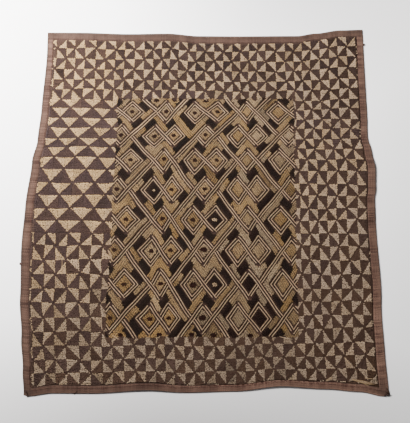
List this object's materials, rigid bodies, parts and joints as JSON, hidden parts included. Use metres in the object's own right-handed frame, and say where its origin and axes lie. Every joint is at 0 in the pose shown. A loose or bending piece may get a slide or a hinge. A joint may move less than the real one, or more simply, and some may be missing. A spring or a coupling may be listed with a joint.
{
  "type": "kuba raffia cloth",
  "caption": "Rectangular cut-pile raffia cloth with a turned hem, a field of small triangles and a central panel of interlaced lozenges, lying flat and face up.",
  "frame": {"origin": "middle of the cloth's box, on the surface it lies on", "axes": "+Z out of the worked face, +Y towards the cloth's top edge, +X towards its right edge"},
  "size_m": [0.6054, 0.6536, 0.0043],
  "materials": {
    "raffia": "matt cut-pile raffia on a plain-woven ground"
  },
  "bodies": {
    "root": {"raffia_cloth": "raffia"}
  },
  "joints": []
}
